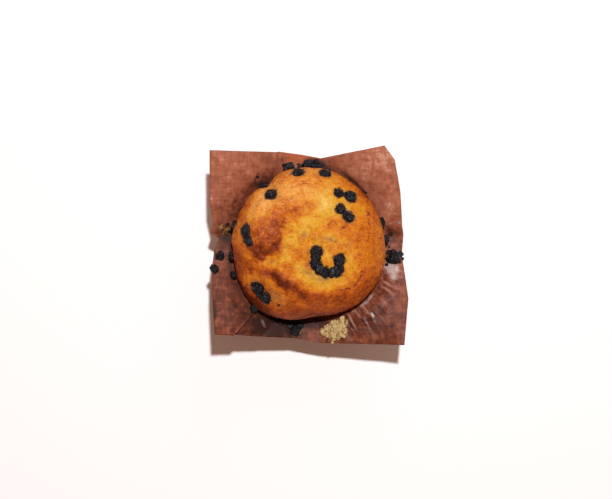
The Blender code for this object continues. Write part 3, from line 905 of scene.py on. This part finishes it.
def make_case(look):
    columns = case_columns()
    grid = np.stack([column_points(column) for column in columns])
    rows = grid.shape[1]
    reach = np.zeros(grid.shape[:2])
    reach[:, -FLARE_ROWS:] = np.linspace(0, 1, FLARE_ROWS + 1)[1:]
    folds = np.array([c.share < 0 for c in columns], float)
    ends = np.array([min(max(c.share, 0), max(1 - c.share, 0)) for c in columns])
    along_fold = np.repeat(np.maximum(folds, 1 - between(ends, 0, 0.12)), rows)
    flat = grid.reshape(-1, 3)
    normals = grid_normals(grid).reshape(-1, 3)
    relief = paper_relief(flat, along_fold, reach.reshape(-1))
    middle = len(flat)
    points = np.concatenate([flat + normals * relief[:, None], [(0, 0, PAPER / 2)]])
    faces = [list(f) for f in grid_faces(len(columns), rows)]
    first = np.arange(len(columns)) * rows
    faces += [[middle, a, b] for a, b in zip(first, np.roll(first, -1))]
    x, y, z = points.T
    wobble = 2.2 * fractal(points, 6, 3, 141)
    above_the_wall = between(z, 30, 34)
    stain_and_shade = zones(x + 0.5 * wobble, y - 0.5 * wobble, STAINS_AND_SHADE)
    silver_sheen = zones(x + 0.4 * wobble, y, SILVER_SHEEN, np.maximum)
    attributes = {
        "grease": grease(x, y),
        "reach": np.append(reach.reshape(-1), 0),
        "tone": zones(x + wobble, y - wobble, PAPER_TONES) * above_the_wall,
        "stain_and_shade": np.clip(stain_and_shade, 0, 1.3) * above_the_wall,
        "silver_sheen": silver_sheen * above_the_wall,
        "behind": blob(x, y, (-5, 45.5, 8.5, 4.5, -4)),
        # painted highlights on the greasy crinkles
        "crinkle_highlight": fractal(rays(points), 2.2, 2, 151),
    }
    case = piece("paper_case", points, faces, look, ["tulip_case"], "paper", attributes)
    solid = case.modifiers.new("paper", "SOLIDIFY")
    solid.thickness, solid.offset = PAPER_SHOWN * 0.001, 0
    solid.use_rim = True
    return case


# The paper's colours from dark to light: (tone, colour).
PARCHMENT = (
    (0, (58, 24, 15)), (0.3, (108, 50, 31)), (0.6, (156, 83, 56)),
    (0.85, (180, 106, 77)), (1, (204, 138, 112)),
)
TONE_AT_TOP, TONE_AT_BOTTOM = 0.66, 0.36  # of the view from above


def paper_look():
    look = Look("parchment")
    mottle = look.noise(3.5, 4, 0.65)
    upright, level = look.noise(1.7, stretch=(1, 0.22, 1)), look.noise(1.7, stretch=(0.22, 1, 1))
    y = look.node("ShaderNodeSeparateXYZ", {"Vector": look.place()}).outputs["Y"]
    tone = look.add(
        "tone",
        look.sway(look.noise(13, 4), 0.1),
        look.sway(mottle, 0.15),
        look.sway(upright, 0.11),
        look.sway(level, 0.11),
        look.remap(y, 0.02, -0.025, TONE_AT_TOP, TONE_AT_BOTTOM),
        # darker near the wall's top, by the crown: grease and painted shade
        look.remap("reach", 0.1, 0.5, -0.2, 0),
    )
    behind = look.remap("behind", 0.2, 0.7, 0, 0.7)
    colour = look.paint(look.ramp(tone, PARCHMENT), behind, (190, 92, 50))
    # painted highlights along the crinkles of the greasy paper
    crinkle_highlight = look.times(look.remap("crinkle_highlight", 0.14, 0.34, 0, 0.6), "grease")
    colour = look.paint(colour, crinkle_highlight, (184, 126, 104))
    # painted grey sheen of the greasy film
    silver_sheen = look.patchy("silver_sheen", mottle, 0.35, 0.6, 0.3, 1.2)
    colour = look.paint(colour, look.remap(silver_sheen, 0.15, 0.9, 0, 0.85), (196, 170, 162))
    # dark stains, and painted shade by the crown's edge and in the notches
    stain_and_shade = look.patchy("stain_and_shade", mottle, 0.3, 0.65, 0.5, 1.2)
    colour = look.paint(colour, look.remap(stain_and_shade, 0.2, 0.95, 0, 0.93), (46, 20, 16))
    gloss = look.patchy("grease", mottle, 0.35, 0.6, 0.6, 1.1)
    return look.shaded(
        Base_Color=colour,
        Roughness=look.remap(gloss, 0.1, 0.9, 0.62, 0.3),
        Specular_IOR_Level=0.24,
        Normal=look.bump(look.add(level, mottle, upright), 0.06, 0.5),
    )


# ---- the berries

# How a berry, by its number, differs from a round one: (turn of its length, length, width).
BERRY_FORMS = {
    1: (0, 1.05, 0.9), 2: (10, 1.12, 0.9), 3: (8, 1.12, 0.9), 4: (-30, 1.05, 0.9),
    5: (-20, 1.1, 0.92), 6: (75, 1.12, 0.88), 7: (-35, 1.15, 0.85), 8: (40, 1.08, 0.95),
    9: (92, 1.2, 0.95), 10: (-60, 1.1, 0.95), 11: (80, 1.18, 0.92), 12: (20, 1.08, 0.98),
    13: (30, 1.28, 1.24), 14: (-10, 1.24, 1.2), 15: (-58, 1.2, 0.98), 16: (-50, 1.2, 0.9),
}
# Berries that show a little beside their CAD solids, and how far.
BERRY_SHIFTS = {
    13: (0.7, -1.3, 2.2), 14: (1.5, 0, 2.4), 17: (0.6, 0, 0.4), 18: (0.3, 0, 0.4),
    19: (-0.6, 1.8, 0.8), 20: (-0.6, 0.6, 0.6), 21: (0.3, 0.3, 1.8), 22: (-1.4, 0, 0.6),
    23: (-1.8, -0.4, 0.6), 24: (-0.8, -0.8, 0.4), 27: (-0.6, 0, 0), 28: (-1.4, -1, 0.2),
    29: (-0.4, -1.2, 0),
}
# Bits of fruit on the crust, most of them between two berries: (x, y, size).
CRUST_BITS = (
    (3.4, -7.6, 6.4), (5.4, -13, 6.4), (11.2, -15, 6.2), (15.3, -11.6, 6.4),
    (17.2, -13.6, 2.6), (18, -7.4, 1.8), (6.2, -4.2, 1.8), (18.6, 24.2, 3),
    (13.6, 27.4, 1.8), (18, 15.6, 3.4), (22.8, 14, 1.8), (15.8, 19.8, 2),
    (-31.2, 5.4, 4), (-24.1, -25.5, 5.8), (-20.8, -30.2, 2.6), (-28.3, -20.8, 2.8),
    (-15.4, -31.8, 1.9), (-22.6, 31.6, 1.8), (-24.4, 29.8, 1.5), (37, 2.8, 1),
)
# Bits of fruit on the paper: (x, y, size).
PAPER_BITS = (
    (-4.4, 40.2, 3.4), (-2.2, 41, 3.6), (1.4, 42, 4), (3.8, 42.6, 3),
    (3.2, 40.6, 4), (5.8, 41, 2.4), (-5.6, 41.6, 1.2), (-13, 40.6, 2.2),
    (-25.4, 31.4, 1.6), (-26.9, 34.8, 1.9), (-28, 33.4, 1.2), (-26, 36.2, 0.9),
    (20.8, 33, 2.2), (22.2, 31.8, 1.6), (28.4, 27.6, 2), (29.8, 26.6, 1.4),
    (-41.2, 6.8, 3.4), (-39.8, 4.6, 2.4), (41.8, -4.6, 3), (44.6, -4.6, 3.6),
    (47.8, -5.6, 3.4), (42, -8.4, 4), (46.8, -9.2, 3.4), (49, -8, 2),
    (41, -11.2, 2), (42.2, -1.8, 1.4), (-9.8, -43.4, 4.2), (-4.4, -43.4, 4),
    (-3.4, -40.8, 3.2), (-9, -46.6, 2.6), (-14.6, -41.6, 3.6), (-19, -40.2, 3.4),
    (-28, -33.2, 3), (-25.6, -35.8, 2.4), (-42.4, 10.2, 1.8), (-44.6, 7.6, 1.3),
    (6.4, -40.6, 1.8), (4.2, -42.2, 1.1),
)
BERRY_SEED, BIT_SEED, CRUMB_SEED = 11, 23, 31
CRUST_BIT_ROUGHNESS, PAPER_BIT_ROUGHNESS, PAPER_BIT_LIFT = 0.9, 1.5, 0.12


def icosphere(level):
    shape = bmesh.new()
    bmesh.ops.create_icosphere(shape, subdivisions=level, radius=1)
    points = np.array([v.co for v in shape.verts])
    faces = np.array([[v.index for v in f.verts] for f in shape.faces])
    shape.free()
    return points, faces


def turned(points, degrees):
    """The points turned about Z."""
    c, s = math.cos(math.radians(degrees)), math.sin(math.radians(degrees))
    return points @ np.array(((c, s, 0), (-s, c, 0), (0, 0, 1)))


def lying_axes(out):
    """Axes of a thing that lies on a surface: its third points out of it, its first is
    as near +X as it can be."""
    out = unit(out)
    up = unit(np.cross(out, (1, 0, 0)))
    return np.stack([np.cross(up, out), up, out])


def berry_axes(centre):
    """A berry in the crown lies on its slope, and one on the paper lies level."""
    if np.hypot(*centre[:2]) > 43.5 or centre[2] < 42:
        return np.eye(3)
    x, y, z = centre
    return lying_axes(np.array((x, y, max(z - CROWN_Z, 0) * DOME_FLATNESS)))


def wrinkled(ball, number, rough=1):
    """A ball shrunk like a baked berry: lumps, folds and fine wrinkles."""
    shift = number * 7.7
    swell = 1 + rough * 0.42 * fractal(ball + shift, 1.1, 2, number)
    fold = noise(ball * (1, 1, 0.5) + shift, 0.6, number + 60)
    swell -= rough * 0.22 * bell(fold, 0.1)
    fold = noise(ball + shift, 0.34, number + 70)
    swell -= rough * 0.09 * bell(fold, 0.1)
    swell += 0.03 * noise(ball + shift, 0.16, number + 90)
    return ball * swell[:, None]


def gathered(shapes):
    """The points and faces of one mesh from those of many."""
    points, faces = zip(*shapes)
    starts = np.cumsum([0] + [len(p) for p in points])
    return np.concatenate(points), np.concatenate([f + at for f, at in zip(faces, starts)])


def make_berries(look):
    ball, faces = icosphere(5)
    random = np.random.default_rng(BERRY_SEED)
    shapes = []
    for number, name in enumerate(BERRIES):
        low, high = (np.array(corner) * 1000 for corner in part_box(name))
        centre, size = (low + high) / 2, (high - low).max()
        centre = centre + BERRY_SHIFTS.get(number + 1, (0, 0, 0))
        turn, long, wide = BERRY_FORMS.get(number + 1, (random.uniform(0, 180), 1.06, 0.96))
        shape = wrinkled(ball, number) * (long, wide, 0.86) * size / 2
        shapes.append((centre + turned(shape, turn) @ berry_axes(centre), faces))
    return piece("berries", *gathered(shapes), look, BERRIES, "berry_skin")


def surface_under(obj):
    """A function from x and y to the object's top point there and its normal."""
    mesh = obj.data
    corners = [vertex.co for vertex in mesh.vertices]
    tree = BVHTree.FromPolygons(corners, [list(p.vertices) for p in mesh.polygons])

    def under(x, y):
        above, down = Vector((x * 0.001, y * 0.001, 0.2)), Vector((0, 0, -1))
        point, normal, _, _ = tree.ray_cast(above, down)
        if point is None or point.z < 0.03:  # beside the sheet, or through a gap in it
            point, normal, _, _ = tree.find_nearest(Vector((above.x, above.y, 0.042)))
        normal = np.array(normal) * (1 if normal.z > 0 else -1)
        return np.array(point) * 1000, normal

    return under


def make_fruit_bits(look, crust, case):
    """Torn, sticky bits of fruit on the crust and the paper."""
    ball, faces = icosphere(4)
    random = np.random.default_rng(BIT_SEED)
    on_crust, on_paper = surface_under(crust), surface_under(case)
    spots = [(on_crust, 0, CRUST_BIT_ROUGHNESS, spot) for spot in CRUST_BITS]
    spots += [(on_paper, PAPER_BIT_LIFT, PAPER_BIT_ROUGHNESS, spot) for spot in PAPER_BITS]
    shapes = []
    for number, (under, lift, rough, (x, y, size)) in enumerate(spots):
        point, normal = under(x, y)
        stretch = random.uniform(0.85, 1.15)
        form = np.array((stretch, 1 / stretch, 0.5)) * size / 2
        shape = wrinkled(ball, number + 40, rough) * form
        shape = turned(shape, random.uniform(0, 180)) @ lying_axes(normal)
        shapes.append((point + normal * lift * size + shape, faces))
    return piece("fruit_bits", *gathered(shapes), look, slot="berry_skin")


# The berries' colours over a soft noise: (its value, colour).
BLUE_BLACK = (
    (0.3, (12, 8, 9)), (0.5, (20, 15, 18)),
    (0.62, (32, 33, 42)), (0.74, (58, 28, 46)),
)


def berry_look():
    look = Look("baked_berry")
    fine = look.noise(0.5)
    return look.shaded(
        Base_Color=look.ramp(look.noise(1.8), BLUE_BLACK),
        Roughness=look.remap(fine, 0.3, 0.7, 0.36, 0.6),
        Specular_IOR_Level=0.25,
        Normal=look.bump(fine, 0.05, 0.5),
    )


# ---- crumbs

# Where cake crumbs lie on the paper: (x, y, half width, half height, turn, how many, how
# pale the palest is).
CRUMB_PATCHES = (
    (13.5, -44.6, 4.4, 3.8, 20, 110, 1), (10, -46, 3.4, 2.6, 0, 70, 1),
    (17.2, -41.6, 3.2, 2.6, 20, 60, 1), (16.8, -46.6, 3.4, 2.2, 60, 50, 1),
    (12.4, -49.2, 1.8, 1.8, 20, 26, 1), (14, -46, 7, 6, 20, 40, 1),
    (-43.4, 6.8, 2.6, 1.6, 30, 24, 0.35), (-45.4, 8.6, 1.8, 1, 30, 9, 0.45),
    (-5, -45.4, 2.6, 1.6, 60, 9, 0.4),
)


def make_crumbs(look, case):
    """Crumbs of cake that stick to the paper."""
    small, big = icosphere(2), icosphere(3)
    random = np.random.default_rng(CRUMB_SEED)
    under = surface_under(case)
    shapes, tones = [], []
    for at_x, at_y, wide, high, turn, count, palest in CRUMB_PATCHES:
        for _ in range(count):
            number = len(shapes)
            away, angle = math.sqrt(random.uniform()), random.uniform(0, 2 * math.pi)
            offset = (wide * away * math.cos(angle), high * away * math.sin(angle), 0)
            x, y, _ = turned(np.array([offset]), turn)[0] + (at_x, at_y, 0)
            point, normal = under(x, y)
            size = (0.45 + 2.7 * random.uniform() ** 2) * (1.2 - 0.5 * away)
            ball, faces = big if size > 2.2 else small
            lumps = 1 + 0.9 * fractal(ball + number * 3.1, 0.9, 3, number % 40)
            form = np.array((1, random.uniform(0.7, 1), 0.36)) * size / 2
            shape = turned(ball * lumps[:, None] * form, random.uniform(0, 360))
            middle = point + normal * (0.1 + 0.09 * size)
            shapes.append((middle + shape @ lying_axes(normal), faces))
            tones.append(np.full(len(ball), palest * random.uniform(0.4, 1)))
    attributes = {"tone": np.concatenate(tones)}
    return piece("crumbs", *gathered(shapes), look, slot="crust", attributes=attributes)


# The crumbs' colours from toasted to pale: (tone, colour).
CRUMB_COLOURS = (
    (0, (84, 48, 20)), (0.25, (138, 92, 42)), (0.4, (158, 116, 68)),
    (0.6, (184, 144, 92)), (0.8, (202, 166, 110)), (1, (216, 186, 132)),
)


def crumb_look():
    look = Look("cake_crumb")
    tone = look.add("tone", look.sway(look.noise(0.8), 0.15))
    return look.shaded(
        Base_Color=look.ramp(tone, CRUMB_COLOURS),
        Roughness=0.85,
        Specular_IOR_Level=0.2,
        Normal=look.bump(look.noise(0.5), 0.1, 0.8),
    )


# ---- the stage, lights and camera


FLOOR_HALF = 10  # metres
KEY_DIRECTION, KEY_DISTANCE = (0.052, 0.216, 1), 1.332  # a near lamp, almost overhead
WARM, WARM_ROOM = (1, 0.8, 0.6), (1, 0.5, 0.34, 1)
ROOM_STRENGTH = 0.26
CAMERA_HIGH, VIEW_WIDE = 0.9, 0.3182  # metres: over the crown's widest ring, and the view there
SENSOR_WIDE = 36


def make_stage():
    pale = (0.93, 0.95, 0.97, 1)
    look = Look("floor").shaded(Base_Color=pale, Roughness=0.9, Specular_IOR_Level=0.1)
    mesh = bpy.data.meshes.new("floor")
    corners = [(FLOOR_HALF * x, FLOOR_HALF * y, 0) for x, y in ((-1, -1), (1, -1), (1, 1), (-1, 1))]
    mesh.from_pydata(corners, [], [(0, 1, 2, 3)])
    mesh.materials.append(look)
    floor = bpy.data.objects.new("floor", mesh)
    bpy.context.scene.collection.objects.link(floor)


def lamp(name, towards_light, distance, power, **settings):
    light = bpy.data.lights.new(name, "AREA")
    light.energy = power
    for key, value in settings.items():
        setattr(light, key, value)
    obj = bpy.data.objects.new(name, light)
    bpy.context.scene.collection.objects.link(obj)
    way = Vector(towards_light).normalized()
    obj.rotation_mode = "QUATERNION"
    obj.rotation_quaternion = way.to_track_quat("Z", "Y")
    obj.location = way * distance


def make_lights():
    lamp("key", KEY_DIRECTION, KEY_DISTANCE, 16.4, shape="DISK", size=0.05)
    soft = {"shape": "RECTANGLE", "size": 0.6}
    lamp("window", (0.35, 0.9, 0.75), 0.8, 0.5, size_y=0.4, **soft)
    lamp("fill", (0, -1, 0.4), 0.8, 0.42, size_y=0.3, color=WARM, **soft)
    world = bpy.data.worlds.new("studio")
    bpy.context.scene.world = world
    world.use_nodes = True
    back = world.node_tree.nodes["Background"]
    back.inputs["Color"].default_value = WARM_ROOM
    back.inputs["Strength"].default_value = ROOM_STRENGTH


def make_camera():
    data = bpy.data.cameras.new("camera")
    data.sensor_width = SENSOR_WIDE
    data.lens = SENSOR_WIDE * CAMERA_HIGH / VIEW_WIDE
    data.clip_end = 10
    camera = bpy.data.objects.new("camera", data)
    camera.location = (-0.0014, -0.0032, CAMERA_HIGH + CROWN_Z * 0.001)
    bpy.context.scene.collection.objects.link(camera)
    bpy.context.scene.camera = camera


make_camera()
crust = make_crust(crust_look())
case = make_case(paper_look())
skin = berry_look()
make_berries(skin)
make_fruit_bits(skin, crust, case)
make_crumbs(crumb_look(), case)
make_stage()
make_lights()
bpy.context.scene.view_settings.view_transform = "Standard"
bpy.context.view_layer.update()
